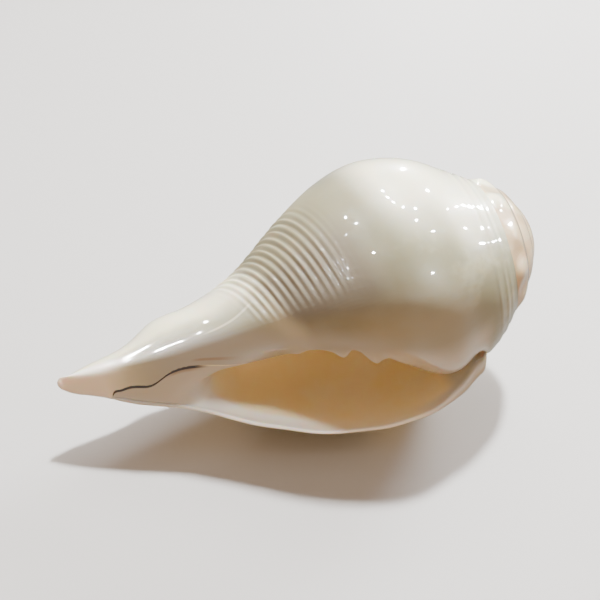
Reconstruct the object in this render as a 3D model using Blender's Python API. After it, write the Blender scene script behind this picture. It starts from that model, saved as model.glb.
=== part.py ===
"""Conch shell: a right-handed chank lying on its side, its mouth to the front.

The shell is one piece, and its wall is drawn as it grew. Every point has a row,
which is its distance from the canal's tip when it reaches the lip, and a turn,
which counts degrees back from the lip. Six outlines give the wall's radius at
different turns, and smooth curves join them.

Sizes are in millimetres until the mesh is made. Before the shell is laid down, x
runs along its axis from the canal's tip to the apex, -y to the mouth and z up.
"""

from math import cos, pi, radians, sin

import bmesh
import bpy
import numpy as np
from mathutils import Vector

# Driving dimensions
MM = 0.001
CANAL_TIP = -1.6            # the canal's rounded end, just beyond the first row
CANAL_MOUTH = 12.5          # where the canal opens
MOUTH_CORNER = 127.0        # the mouth's rear corner, where the lip meets the whorl before
APEX = 149.7                # the point of the spire
LIP_ANGLE = -50.0           # the lip, in degrees above the front
AXIS_RISE = 8.0             # degrees by which the apex end lies higher
FLAT_DEPTH = 0.9            # how far the underside is worn flat
TURNS = 4.5                 # turns from the lip to the apex

# The suture, by turns back from the lip: its place along the axis, and its radius
SUTURE_STATION = ((0, 127), (0.5, 133.3), (0.75, 135.3), (1, 137), (1.5, 140.2), (2, 142.7),
                  (2.5, 144.7), (3, 146.4), (3.5, 147.6), (4, 148.5), (4.5, 149))
SUTURE_RADIUS = ((0, 29.4), (0.25, 26), (0.5, 23), (0.75, 22), (1, 21), (1.5, 18), (2, 15),
                 (2.5, 12), (3, 9.2), (3.5, 6.7), (4, 4.5), (4.5, 2.6))

# The wall's radius against the distance from the tip, at 0, 90, 180, 270, 315 and 360
# degrees back from the lip
LIP_OUTLINE = ((0, 3), (11.3, 6.2), (18, 9.2), (31, 13.7), (46, 19.8), (60, 25.9), (67, 29.8),
               (76, 34), (84, 37.2), (92, 39.9), (100, 41), (107, 41), (114, 39.4), (119, 37.4),
               (123, 35.1), (125.7, 32.9), (127, 29.4))
BACK_OUTLINE = ((0, 2), (11.5, 6.3), (30, 13.4), (50, 21.6), (70, 31.8), (80, 36.8), (90, 40.4),
                (100, 42), (108, 41.4), (116, 38.4), (122, 34.2), (127, 29.6), (130.6, 26))
TOP_OUTLINE = ((0, 1.6), (11.5, 5.5), (22, 9), (30.3, 13.6), (39, 15.6), (46, 18.5), (53, 22),
               (63, 27.4), (74, 34), (81.5, 37.2), (90, 39.5), (100, 40.3), (109.8, 38.4),
               (119.3, 34), (126, 28.9), (133.3, 23))
FRONT_OUTLINE = ((0, 2), (13, 6.2), (30, 11.2), (40, 13.6), (50, 17), (60, 21), (70, 25.6),
                 (80, 30.4), (90, 34), (100, 36.2), (108, 36.4), (116, 34.6), (124, 30.6),
                 (130, 26.4), (135.3, 22))
EDGE_OUTLINE = ((0, 2), (13, 7.2), (20, 8.4), (30, 9.8), (40, 11), (50, 12.6), (60, 13.3),
                (70, 15.1), (80, 18.4), (90, 23.2), (100, 27.4), (108, 30.7), (115, 31),
                (121, 28.6), (127, 27.4), (136.3, 21.4))
PILLAR_OUTLINE = ((0, 2), (13.6, 8.6), (24.5, 8.6), (34.5, 7.2), (41, 7.4), (52, 9.2), (68, 10.4),
                  (77, 12.2), (85, 14.6), (92, 17.8), (99.8, 22.2), (107, 27.3), (111, 29.5),
                  (115, 30.3), (118.5, 29.6), (122, 27.9), (124.5, 27.6), (127, 29.4))
PILLAR_INWARD = ((360, 1), (405, 0.86), (450, 0.78), (520, 0.7))

# How far section centres stand off the axis: the neck's towards the lip, and the spire's away
NECK_OFFSET = ((0, 3.4), (20, 5.2), (32, 5.6), (42, 6.6), (54, 8.4), (64, 7.6), (74, 6.2),
               (84, 4), (94, 2), (106, 0.5), (118, 0))
SPIRE_LEAN = ((105, 0), (116, -0.5), (124, -1.3), (132, -2.6), (140, -3.9), (150, -4.6))

# The mouth, by row: degrees that its hollow reaches back, the wall's thickness, and the lip's
HOLLOW_REACH = ((12.5, 0), (14.5, 30), (18, 48), (26, 68), (36, 84), (48, 108), (62, 140),
                (75, 150), (97, 150), (107, 134), (115.3, 98), (121, 60), (124, 30), (127, 8))
WALL_THICKNESS = ((12.5, 1.2), (20, 2.2), (40, 3.2), (60, 3.6), (90, 3.8), (110, 3.6), (127, 3))
LIP_THICKNESS = ((12.5, 0.2), (15, 1.1), (20, 1.4), (40, 1.5), (70, 1.2), (95, 1.2), (105, 1.5),
                 (111, 2.1), (115, 3), (119, 3.8), (123.4, 4.6), (125.7, 3.4), (127, 1.5))
BEND_ANGLE = 30.0           # degrees by which the hollow is rounded at its deepest place
LIP_ROUNDING = 0.45         # how far the lip's rim stands forward, as a share of its thickness

# Folds and furrows of the pillar: place from the tip, height and width
PILLAR_FOLDS = ((71.8, 0.6, 1.5), (77.6, -2, 2.4), (84.2, 1.7, 2), (88.4, -2.4, 1.8),
                (93, 1.9, 2), (97.4, -0.6, 1.6))
FOLD_SLANT = 0.06           # how far a fold moves towards the apex with each degree inward
FOLD_LOSS = 0.4             # share of its height that a fold loses on its way in

# Spiral cords of the neck, one to every two rows from the first of these to the last
CORD_ROWS = (75, 42)
CORD_HEIGHT = 0.36
CORD_SLANT = 24.0           # how far a cord climbs towards the apex across the front

CALLUS_HEIGHT = 0.35        # the glaze beside the mouth, above the wall
BULGE = 1.29                # swelling of the largest spire whorl between its sutures
BULGE_SHRINK = 0.6          # power with which smaller whorls swell less
BULGE_FLATNESS = 0.8        # power that flattens the swelling's top
BULGE_LEAN = 0.35           # share by which it is lower beside the next suture
KNOB_HEIGHT = 0.3
KNOBS_PER_TURN = 11

# Where forms grow from nothing to all, in degrees of turn or in rows
NECK_TURNS = (330, 180)
SUTURE_CLIMB_ROWS = (62, 127)
CORD_CLIMB_TURNS = (110, 330)
CORD_CLIMB_FRONT_ROWS = (13, 40)
CORD_CLIMB_REAR_ROWS = (127, 64)
CORD_BACK_TURNS = (40, 110)
CORD_MOUTH_TURNS = (280, 252)
CORD_FRONT_ROWS = (40, 49)
CORD_REAR_ROWS = (77, 65)
CALLUS_TURNS = (262, 282)
CALLUS_ROWS = (30, 45)
FOLD_TURNS = (298, 332)
PILLAR_TURNS = (360, 410)
LIP_TURNS = (0, 28)
KNOB_FIRST_TURNS = (360, 420)
KNOB_LAST_TURNS = (1300, 900)

# The canal's shallow floor: where it leaves the wall, its rows, and the share of its width on
# the glaze's side of the chink, by row
CANAL_FLOOR_TURNS = (280, 360)
CANAL_FLOOR_ROWS = (52, 27)
CANAL_EDGE = ((12.5, 1), (14, 0.66), (16, 0.56), (18, 0.48), (21, 0.46), (23, 0.41), (24.4, 0.28),
              (25.6, 0.22), (28.3, 0.2), (34, 0.27), (40, 0.3), (52, 0.3))

# Mesh density: rows from the suture to the tip, and columns
COLUMNS = 36
BAND_ROWS = (127, 125.2, 123.2, 121, 118.3, 115.3)
BODY_ROWS = (113.4, 111, 107, 102, 97, 92, 87.5, 83.5, 80, 77.3)
NECK_ROWS = (40.5, 37, 33, 29, 25, 21.5, 18, 15, 12.5, 9.5, 6.5, 4, 2, 0)
PILLAR_COLUMNS = 7
BEND_COLUMNS = 3
LINING_COLUMNS = 9
TIP_RINGS = 3
SHARP_EDGE = 50.0           # degrees from which an edge is shaded sharp


def smooth_curve(points):
    """A curve with no kinks through the points, as a function of their first number."""
    x, y = np.array(points, float).T
    step = np.diff(x)
    count = len(x)
    matrix = np.eye(count)
    right = np.zeros(count)
    for i in range(1, count - 1):
        matrix[i, i - 1:i + 2] = step[i - 1], 2 * (step[i - 1] + step[i]), step[i]
        right[i] = 6 * ((y[i + 1] - y[i]) / step[i] - (y[i] - y[i - 1]) / step[i - 1])
    bend = np.linalg.solve(matrix, right)

    def curve(at):
        at = np.clip(at, x[0], x[-1])
        i = np.clip(np.searchsorted(x, at) - 1, 0, count - 2)
        d = at - x[i]
        h = step[i]
        slope = (y[i + 1] - y[i]) / h - h * (2 * bend[i] + bend[i + 1]) / 6
        return y[i] + slope * d + bend[i] / 2 * d ** 2 + (bend[i + 1] - bend[i]) / (6 * h) * d ** 3

    return curve


suture_station = smooth_curve(SUTURE_STATION)
suture_radius = smooth_curve(SUTURE_RADIUS)
neck_offset = smooth_curve(NECK_OFFSET)
spire_lean = smooth_curve(SPIRE_LEAN)
hollow_reach = smooth_curve(HOLLOW_REACH)
wall_thickness = smooth_curve(WALL_THICKNESS)
lip_thickness = smooth_curve(LIP_THICKNESS)
pillar_outline = smooth_curve(PILLAR_OUTLINE)
pillar_inward = smooth_curve(PILLAR_INWARD)
canal_edge = smooth_curve(CANAL_EDGE)
WALL_OUTLINES = ((0, smooth_curve(LIP_OUTLINE)), (90, smooth_curve(BACK_OUTLINE)),
                 (180, smooth_curve(TOP_OUTLINE)), (270, smooth_curve(FRONT_OUTLINE)),
                 (315, smooth_curve(EDGE_OUTLINE)))


def grown(at, span):
    """Runs smoothly from 0 at the span's first number to 1 at its second."""
    share = np.clip((at - span[0]) / (span[1] - span[0]), 0, 1)
    return share * share * (3 - 2 * share)


def arch(level):
    """1 half-way between two sutures, and 0 at each."""
    return 4 * level * (1 - level)


def across(turn):
    """The direction across the axis, as y and z, so many degrees back from the lip."""
    angle = np.radians(LIP_ANGLE - turn)
    return -np.cos(angle), np.sin(angle)


def place(station, radius, turn, neck):
    """A point of the wall; neck is 1 where its section has the neck's centre, and 0 the axis."""
    y, z = across(turn)
    lip_y, lip_z = across(0)
    centre = neck_offset(station) * neck + spire_lean(station)
    return np.stack([station + 0 * y, centre * lip_y + radius * y, centre * lip_z + radius * z], -1)


def row_station(row, turn):
    """Where a row lies along the axis: it climbs with the suture, and with the cords."""
    climb = suture_station(np.minimum(turn, 360) / 360) - MOUTH_CORNER
    with_cords = grown(row, CORD_CLIMB_FRONT_ROWS) * grown(row, CORD_CLIMB_REAR_ROWS)
    return (row + climb * grown(row, SUTURE_CLIMB_ROWS)
            + CORD_SLANT * grown(turn, CORD_CLIMB_TURNS) * with_cords)


def between(keys, values, turns):
    """Values given at the key turns, read smoothly at other turns, row by row."""
    weights = [smooth_curve(list(zip(keys, unit)))(turns) for unit in np.eye(len(keys))]
    return np.stack(values, -1) @ np.array(weights)


def wall_radii(rows, turns):
    """Radius of the outer wall for each row and turn, up to the pillar."""
    keys = [turn for turn, outline in WALL_OUTLINES] + [turn for turn, share in PILLAR_INWARD]
    values = [outline(row_station(rows, turn)) for turn, outline in WALL_OUTLINES]
    values += [pillar_outline(row_station(rows, turn)) * share for turn, share in PILLAR_INWARD]
    return between(keys, values, turns)


def spire_band(turn, level):
    """Station and radius of the whorl that shows from its suture, level 0, to the next, 1."""
    age = turn / 360
    low, high = suture_station(age - 1), suture_station(age)
    small, large = suture_radius(age), suture_radius(age - 1)
    swell = BULGE * (small / suture_radius(1)) ** BULGE_SHRINK
    swell = swell * arch(level) ** BULGE_FLATNESS * (1 - BULGE_LEAN * level)
    return high + (low - high) * level, small + (large - small) * level + swell


def band_levels():
    """Levels of the rows that show on the spire, from their places at the end of one turn."""
    stations = row_station(np.array(BAND_ROWS, float), 360.0)
    level = np.clip((suture_station(1) - stations) / (suture_station(1) - MOUTH_CORNER), 0, 1)
    level[-1] = 1
    return level


def band_radii(turns):
    """Radius of the same rows through the last whorl, where they join the spire."""
    rows = np.array(BAND_ROWS, float)
    spire_turns = [360.0, 450.0, 540.0]
    keys = [turn for turn, outline in WALL_OUTLINES] + spire_turns
    values = [outline(row_station(rows, turn)) for turn, outline in WALL_OUTLINES]
    values += [spire_band(turn, band_levels())[1] for turn in spire_turns]
    radii = between(keys, values, turns)
    radii[0] = suture_radius(turns / 360)
    return radii


def folds(station, turn):
    """Height of the pillar's folds, which fade out towards the front."""
    height = 0
    for centre, rise, width in PILLAR_FOLDS:
        offset = station - centre - FOLD_SLANT * (turn - 360)
        height = height + rise * np.exp(-(offset / width) ** 2)
    return height * grown(turn, FOLD_TURNS)


def cords(rows, turns):
    """Height of the spiral cords, from the back of the neck to the glaze beside the mouth."""
    wave = np.cos(np.pi * (rows - CORD_ROWS[0]))
    strength = grown(rows, CORD_FRONT_ROWS) * grown(rows, CORD_REAR_ROWS)
    span = grown(turns, CORD_BACK_TURNS) * grown(turns, CORD_MOUTH_TURNS)
    return CORD_HEIGHT * (wave * strength)[:, None] * span


def callus(rows, turns):
    """Height of the glaze beside the mouth, which stands a little proud of the wall."""
    return CALLUS_HEIGHT * grown(rows, CALLUS_ROWS)[:, None] * grown(turns, CALLUS_TURNS)


def knobs(turn, level):
    """Height of the low knobs of the spire, which are gone near the apex."""
    strength = grown(turn, KNOB_FIRST_TURNS) * grown(turn, KNOB_LAST_TURNS)
    return KNOB_HEIGHT * np.cos(np.radians(turn) * KNOBS_PER_TURN) * arch(level) * strength


def body_sheet(rows):
    """The last whorl's outside, from the lip once round to the pillar."""
    turns = np.linspace(0, 360, COLUMNS + 1)
    stations = row_station(rows[:, None], turns)
    radii = wall_radii(rows, turns)
    band = len(BAND_ROWS)
    radii[:band] = band_radii(turns)
    stations[:band, -1] = spire_band(360.0, band_levels())[0]
    radii[band:] += folds(stations, turns)[band:] + callus(rows, turns)[band:]
    radii += cords(rows, turns)
    return place(stations, radii, turns + 0 * stations, grown(turns, NECK_TURNS))


def spire_sheet():
    """The whorls of the spire, one strip that winds up from the pillar to the apex."""
    level = band_levels()
    strip = []
    for turn in np.arange(COLUMNS, int(COLUMNS * TURNS) + 1) * 360 / COLUMNS:
        station, radius = spire_band(turn, level)
        strip.append(place(station, radius + knobs(turn, level), turn, 0))
    return np.stack(strip, 1)


def lining_sheet(rows, body):
    """The hollow of the mouth: in along the pillar, round, and out along the lip's inside."""
    rows = rows[rows >= CANAL_MOUTH]
    last = len(rows) - 1
    corner = len(BAND_ROWS) - 1
    columns = PILLAR_COLUMNS + BEND_COLUMNS + LINING_COLUMNS
    sheet = np.zeros((len(rows), columns + 1, 3))
    sheet[0] = body[0, 0]
    sheet[last] = body[last, 0]
    for i in range(1, last):
        row = rows[i]
        start = body[max(i, corner), -1]
        reach = hollow_reach(row)
        pillar = pillar_side(row, reach, i > corner)
        lip = lip_side(row, reach)
        rim = rim_point(row, body[i, 0], lip[-1])
        sheet[i] = np.concatenate([start[None], pillar, deepest(pillar[-1], lip[0]),
                                   lip, rim[None], body[i, 0][None]])
    return sheet


def pillar_side(row, reach, below_corner):
    """The pillar's face, from the mouth's edge inward."""
    depth = np.linspace(0, 1, PILLAR_COLUMNS + 1)[1:]
    turns = 360 + reach * depth
    start = row_station(row, 360.0) if below_corner else MOUTH_CORNER
    stations = start + (row_station(row, reach) - start) * grown(turns, PILLAR_TURNS)
    radii = pillar_outline(stations) * pillar_inward(turns)
    radii = radii + folds(stations, turns) * (1 - FOLD_LOSS * depth)
    return place(stations, radii, turns, 0)


def lip_side(row, reach):
    """The inside of the outer wall, from the hollow's deepest place out to the lip."""
    turns = reach * np.linspace(1, 0, LINING_COLUMNS - 2)
    thin, thick = lip_thickness(row), wall_thickness(row)
    thickness = thin + (thick - thin) * grown(turns, LIP_TURNS)
    radii = wall_radii(np.array([row]), turns)[0] - thickness
    return place(row_station(row, turns), radii, turns, 1)


def deepest(first, last):
    """Points that carry the hollow round its deepest place."""
    steps = np.linspace(0, 1, BEND_COLUMNS + 2)[1:-1]
    points = first + (last - first) * (1 - np.cos(np.pi * steps[:, None])) / 2
    gap = np.linalg.norm(last - first)
    widest = np.minimum(radians(BEND_ANGLE), gap / 2 / np.linalg.norm(last[1:]))
    angle = widest * np.sin(np.pi * steps)
    x, y, z = points.T
    return np.stack([x, y * np.cos(angle) - z * np.sin(angle),
                     z * np.cos(angle) + y * np.sin(angle)], -1)


def bridge(first, last, leaving, arriving, share):
    """Points of a smooth curve between two points, which keeps the slopes at its ends."""
    s = share[:, None]
    return ((2 * s ** 3 - 3 * s ** 2 + 1) * first + (s ** 3 - 2 * s ** 2 + s) * leaving
            + (3 * s ** 2 - 2 * s ** 3) * last + (s ** 3 - s ** 2) * arriving)


def fill_canal(rows, body, lining):
    """Raises the canal's floor to the wall beside it, and closes the wall in front of it."""
    turns = np.linspace(0, 360, COLUMNS + 1)
    start, end = CANAL_FLOOR_TURNS
    leave = round(start / 360 * COLUMNS)
    span = (end - start) * COLUMNS / 360
    outside = (turns[leave:] - start) / (end - start)
    inner = lining.shape[1] - 3
    inside = np.linspace(0, 1, inner + 1)
    for i, row in enumerate(rows):
        risen = grown(row, CANAL_FLOOR_ROWS)
        line = body[i]
        leaving = (line[leave] - line[leave - 1]) * span
        arriving = (line[1] - line[0]) * span
        if row <= CANAL_MOUTH:
            line[leave:] = bridge(line[leave], line[0], leaving, arriving, outside)
        elif risen > 0:
            hollow = lining[i]
            edge = canal_edge(row)
            floor = [bridge(line[leave], hollow[inner], leaving, arriving, share)
                     for share in (outside * edge, edge + (1 - edge) * inside)]
            line[leave:] += (floor[0] - line[leave:]) * risen
            hollow[:inner + 1] += (floor[1] - hollow[:inner + 1]) * risen


def add_tip(body):
    """Rounds off the canal's tip with rings that shrink to a point."""
    ring = body[-1]
    middle = ring.mean(0)
    rings = []
    for angle in np.linspace(0, pi / 2, TIP_RINGS + 1)[1:]:
        shrunk = middle + (ring - middle) * cos(angle)
        shrunk[:, 0] = ring[:, 0] + CANAL_TIP * sin(angle)
        rings.append(shrunk)
    return np.concatenate([body, rings])


def rim_point(row, outer, inner):
    """The middle of the lip's rounded rim, a little in front of its two edges."""
    y, z = across(0)
    forward = np.array([0, z, -y])
    return (outer + inner) / 2 + forward * LIP_ROUNDING * lip_thickness(row)


def all_rows():
    """The rows from the suture to the first one behind the tip."""
    cord_rows = np.arange(CORD_ROWS[0], CORD_ROWS[1], -1)
    return np.concatenate([BAND_ROWS, BODY_ROWS, cord_rows, NECK_ROWS]).astype(float)


def add_sheet(mesh, points):
    """Turns a grid of points into faces."""
    verts = [[mesh.verts.new(point * MM) for point in line] for line in points]
    for upper, lower in zip(verts, verts[1:]):
        for i in range(len(upper) - 1):
            mesh.faces.new((upper[i], lower[i], lower[i + 1], upper[i + 1]))


def close_apex(mesh):
    """A small cone of faces closes the last turn."""
    edges = [edge for edge in mesh.edges if edge.is_boundary]
    tip = mesh.verts.new(place(np.array(APEX), 0, 0, 0) * MM)
    for edge in edges:
        mesh.faces.new((edge.verts[0], edge.verts[1], tip))


def lay_down(mesh):
    """Turns the shell as it lies, wears its underside flat and stands it on z = 0."""
    rise = radians(AXIS_RISE)
    for vert in mesh.verts:
        x, _, z = vert.co
        vert.co.x = x * cos(rise) - z * sin(rise)
        vert.co.z = x * sin(rise) + z * cos(rise)
    floor = min(vert.co.z for vert in mesh.verts) + FLAT_DEPTH * MM
    everything = mesh.verts[:] + mesh.edges[:] + mesh.faces[:]
    bmesh.ops.bisect_plane(mesh, geom=everything, dist=1e-7, plane_co=(0, 0, floor),
                           plane_no=(0, 0, -1), clear_outer=True)
    rim = [edge for edge in mesh.edges if edge.is_boundary]
    bmesh.ops.contextual_create(mesh, geom=rim)
    xs = [vert.co.x for vert in mesh.verts]
    ys = [vert.co.y for vert in mesh.verts]
    middle = Vector(((min(xs) + max(xs)) / 2, (min(ys) + max(ys)) / 2, floor))
    for vert in mesh.verts:
        vert.co -= middle


def shell_mesh():
    """The closed surface of the whole shell, as it lies."""
    rows = all_rows()
    body = body_sheet(rows)
    lining = lining_sheet(rows, body)
    fill_canal(rows, body, lining)
    mesh = bmesh.new()
    add_sheet(mesh, add_tip(body))
    add_sheet(mesh, spire_sheet())
    add_sheet(mesh, lining)
    bmesh.ops.remove_doubles(mesh, verts=mesh.verts[:], dist=1e-6)
    close_apex(mesh)
    bmesh.ops.recalc_face_normals(mesh, faces=mesh.faces[:])
    if mesh.calc_volume(signed=True) < 0:
        bmesh.ops.reverse_faces(mesh, faces=mesh.faces[:])
    lay_down(mesh)
    bmesh.ops.triangulate(mesh, faces=mesh.faces[:])
    return mesh


def porcelain():
    """Warm white and glossy, like glazed porcelain."""
    material = bpy.data.materials.new("shell")
    material.use_nodes = True
    shader = material.node_tree.nodes["Principled BSDF"]
    shader.inputs["Base Color"].default_value = (0.80, 0.76, 0.69, 1)
    shader.inputs["Roughness"].default_value = 0.25
    shader.inputs["Metallic"].default_value = 0
    return material


def conch_shell():
    """The shell's one object."""
    data = bpy.data.meshes.new("conch_shell")
    mesh = shell_mesh()
    mesh.to_mesh(data)
    mesh.free()
    data.materials.append(porcelain())
    data.shade_smooth()
    data.set_sharp_from_angle(angle=radians(SHARP_EDGE))
    shell = bpy.data.objects.new("conch_shell", data)
    bpy.context.scene.collection.objects.link(shell)


def main():
    for thing in list(bpy.data.objects):
        bpy.data.objects.remove(thing)
    conch_shell()


main()
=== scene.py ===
"""A white chank shell with an apricot mouth, lying on a pale table.

The wall is drawn as it grew. Every point has a row, which is its distance from the
canal's tip when it reaches the lip, and a turn, which counts degrees back from the lip.
Growth tables are in millimetres, and meshes in metres.
"""

from math import cos, pi, prod, radians, sin

import bmesh
import bpy
import numpy as np
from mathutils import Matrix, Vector


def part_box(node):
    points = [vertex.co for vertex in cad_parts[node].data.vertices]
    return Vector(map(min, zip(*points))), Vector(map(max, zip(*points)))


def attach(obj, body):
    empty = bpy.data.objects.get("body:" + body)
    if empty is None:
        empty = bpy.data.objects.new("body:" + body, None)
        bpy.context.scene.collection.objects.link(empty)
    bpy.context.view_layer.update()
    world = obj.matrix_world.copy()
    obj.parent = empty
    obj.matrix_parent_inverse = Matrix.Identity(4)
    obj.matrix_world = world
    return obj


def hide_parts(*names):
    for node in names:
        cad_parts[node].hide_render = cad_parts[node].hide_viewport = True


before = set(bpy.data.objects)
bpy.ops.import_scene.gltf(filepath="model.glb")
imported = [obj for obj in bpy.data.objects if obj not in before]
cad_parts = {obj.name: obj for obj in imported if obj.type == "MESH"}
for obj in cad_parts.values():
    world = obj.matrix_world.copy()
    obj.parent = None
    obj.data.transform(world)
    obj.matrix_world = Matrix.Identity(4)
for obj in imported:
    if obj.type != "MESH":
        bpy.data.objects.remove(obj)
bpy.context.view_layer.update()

bl_info = {
    "name": "Chank Shell",
    "version": (1, 0, 0),
    "blender": (4, 5, 0),
    "location": "3D View > Sidebar > Shell",
    "description": "Grows a polished chank shell and sets it on a pale table",
    "category": "Object",
}

MM = 0.001
FULL_TURN = 360

# The form's driving dimensions: places along the axis in millimetres, and angles in degrees
CANAL_TIP = -1.6
CANAL_MOUTH = 12.5
TIP_ROUNDING = 4.5
MOUTH_CORNER = 127.0
APEX = 149.7
LIP_ANGLE = -50.0
AXIS_RISE = 8.0
TURNS = 4.5

# The suture, by turns back from the lip: its place along the axis, and its radius
SUTURE_STATION = ((0, 127), (0.5, 133.3), (0.75, 135.3), (1, 137), (1.5, 140.2), (2, 142.7),
                  (2.5, 144.7), (3, 146.4), (3.5, 147.6), (4, 148.5), (4.5, 149))
SUTURE_RADIUS = ((0, 29.4), (0.25, 26), (0.5, 23), (0.75, 22), (1, 21), (1.5, 18), (2, 15),
                 (2.5, 12), (3, 9.2), (3.5, 6.7), (4, 4.5), (4.5, 2.6))

# The wall's radius against the distance from the tip, at six turns
LIP_OUTLINE = ((0, 3), (11.3, 6.2), (18, 9.2), (31, 13.7), (46, 19.8), (60, 25.9), (67, 29.8),
               (76, 34), (84, 37.2), (92, 39.9), (100, 41), (107, 41), (114, 39.4), (119, 37.4),
               (123, 35.1), (125.7, 32.9), (127, 29.4))
BACK_OUTLINE = ((0, 2), (11.5, 6.3), (30, 13.4), (50, 21.6), (70, 31.8), (80, 36.8), (90, 40.4),
                (100, 42), (108, 41.4), (116, 38.4), (122, 34.2), (127, 29.6), (130.6, 26))
TOP_OUTLINE = ((0, 1.6), (11.5, 5.5), (22, 9), (30.3, 13.6), (39, 15.6), (46, 18.5), (53, 22),
               (63, 27.4), (74, 34), (81.5, 37.2), (90, 39.5), (100, 40.3), (109.8, 38.4),
               (119.3, 34), (126, 28.9), (133.3, 23))
FRONT_OUTLINE = ((0, 2), (13, 6.2), (30, 11.2), (40, 13.6), (50, 17), (60, 21), (70, 25.6),
                 (80, 30.4), (90, 34), (100, 36.2), (108, 36.4), (116, 34.6), (124, 30.6),
                 (130, 26.4), (135.3, 22))
EDGE_OUTLINE = ((0, 2), (13, 7.2), (20, 8.4), (30, 9.8), (40, 11), (50, 12.6), (60, 13.3),
                (70, 15.1), (80, 18.4), (90, 23.2), (100, 27.4), (108, 30.7), (115, 31),
                (121, 28.6), (127, 27.4), (136.3, 21.4))
PILLAR_OUTLINE = ((0, 2), (13.6, 8.6), (24.5, 8.6), (34.5, 7.2), (41, 7.4), (52, 9.2), (68, 10.4),
                  (77, 12.2), (85, 14.6), (92, 17.8), (99.8, 22.2), (107, 27.3), (111, 29.5),
                  (115, 30.3), (118.5, 29.6), (122, 27.9), (124.5, 27.6), (127, 29.4))
PILLAR_INWARD = ((360, 1), (405, 0.86), (450, 0.78), (520, 0.7))
NECK_OFFSET = ((0, 3.4), (20, 5.2), (32, 5.6), (42, 6.6), (54, 8.4), (64, 7.6), (74, 6.2),
               (84, 4), (94, 2), (106, 0.5), (118, 0))
SPIRE_LEAN = ((105, 0), (116, -0.5), (124, -1.3), (132, -2.6), (140, -3.9), (150, -4.6))

# The mouth, by row: degrees that its hollow reaches back, the wall's thickness, and the lip's
HOLLOW_REACH = ((12.5, 0), (14.5, 30), (18, 48), (26, 68), (36, 84), (48, 108), (62, 140),
                (75, 150), (97, 150), (107, 134), (115.3, 98), (118.5, 66), (121, 26), (122.3, 4),
                (123, 0), (127, 0))
WALL_THICKNESS = ((12.5, 1.2), (20, 2.2), (40, 3.2), (60, 3.6), (90, 3.8), (110, 3.6), (127, 3))
LIP_THICKNESS = ((12.5, 0.2), (15, 1.1), (20, 1.4), (40, 1.5), (70, 1.2), (95, 1.2), (105, 1.5),
                 (111, 2.1), (115, 3), (119, 3.8), (123.4, 4.6), (125.7, 3.4), (127, 1.5))
BEND_ANGLE = 30.0

# The pillar's folds: each one's place along the axis, its height and its half-width
PILLAR_FOLDS = ((71.8, 0.6, 1.5), (77.6, -2, 2.4), (84.2, 1.7, 2), (88.4, -2.4, 1.8),
                (93, 1.9, 2), (97.4, -0.6, 1.6))
FOLD_SLANT = 0.06
FOLD_LOSS = 0.4

# The spiral cords, which follow the rows, and how uneven they are
CORD_CREST = 75
CORD_SPACING = 2
CORD_SLANT = 24.0
CORD_VARIETY = 0.3
CORD_VARIETY_RATE = 1.9

# How the spire's whorls swell between their sutures, and their knobs
BULGE = 1.29
BULGE_SHRINK = 0.6
BULGE_FLATNESS = 0.8
BULGE_LEAN = 0.35
KNOBS_PER_TURN = 11
KNOB_SHARPNESS = 1.5

# Fine threads beside the suture: each one's row, height and half-width
THREADS = ((124.6, 0.16, 0.5), (122.6, 0.2, 0.55), (119.6, 0.16, 0.7))

# Where forms grow from nothing to all, in degrees of turn or in rows
NECK_TURNS = (330, 180)
SUTURE_CLIMB_ROWS = (62, 127)
CORD_CLIMB_TURNS = (110, 330)
CORD_CLIMB_FRONT_ROWS = (13, 40)
CORD_CLIMB_REAR_ROWS = (127, 64)
CORD_BACK_TURNS = (40, 110)
CORD_MOUTH_TURNS = (264, 238)
THREAD_TURNS = (60, 150)
CORD_FRONT_ROWS = (40, 49)
CORD_REAR_ROWS = (73, 64)
CALLUS_TURNS = (262, 282)
CALLUS_ROWS = (30, 45)
CALLUS_REAR_ROWS = (115, 100)
FOLD_TURNS = (298, 332)
PILLAR_TURNS = (360, 410)
LIP_TURNS = (0, 28)
KNOB_FIRST_TURNS = (360, 420)
KNOB_LAST_TURNS = (1080, 640)
CANAL_FLOOR_TURNS = (280, 360)
CANAL_FLOOR_ROWS = (52, 27)
CANAL_EDGE = ((12.5, 1), (14, 0.66), (16, 0.56), (18, 0.48), (21, 0.46), (23, 0.41), (24.4, 0.28),
              (25.6, 0.22), (28.3, 0.2), (34, 0.27), (40, 0.3), (52, 0.3))

# Small lamps that the polish mirrors, as heading and height in degrees; in metres, how far off
# they hang and how wide they are
GLINTS = ((79, 51), (74, 60), (65, 65), (48, 68), (31, 64), (2, 69), (67, 14), (46, 38), (24, 34),
          (28, 24), (31, 18), (8, 26), (1, 16), (132, 54), (146, 66), (167, 60),
          (-123, 59), (-19, 58), (-130, 31), (-62, 33), (179, 50), (-145, 35), (-160, 36),
          (164, 41))
GLINT_DISTANCE = 1.1
GLINT_SIZE = 0.026

# Soft square lamps, in metres: the point that each faces, where it hangs from there, and its
# width
SHELL_MIDDLE = (0.01, 0, 0.03)
LAMPS = {
    "key": (SHELL_MIDDLE, (0.228, 0.2928, 1.1412), 0.08),
    "second": (SHELL_MIDDLE, (0.0984, 0.6984, 0.9708), 0.25),
    "panel": ((0, 0, 0), (0.05, 0.05, 1.1), 1.5),
    "side": (SHELL_MIDDLE, (0.5, 0.35, 0.3), 0.25),
    "front": ((0, -0.02, 0.02), (-0.12, -0.55, 0.05), 0.2),
}
MIRRORED_LAMPS = ("panel",)
WARM_LAMPS = ("front",)

# The narrow lamp on the lip's inside, in metres, with its cone in degrees
RIM_LAMP_PLACE = (-0.0579, -0.1516, 0.4942)
RIM_LAMP_DIRECTION = (0.0579, 0.1823, -0.9815)
RIM_LAMP_CONE = 11.1
RIM_LAMP_BLEND = 0.06
RIM_LAMP_SIZE = 0.002

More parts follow.
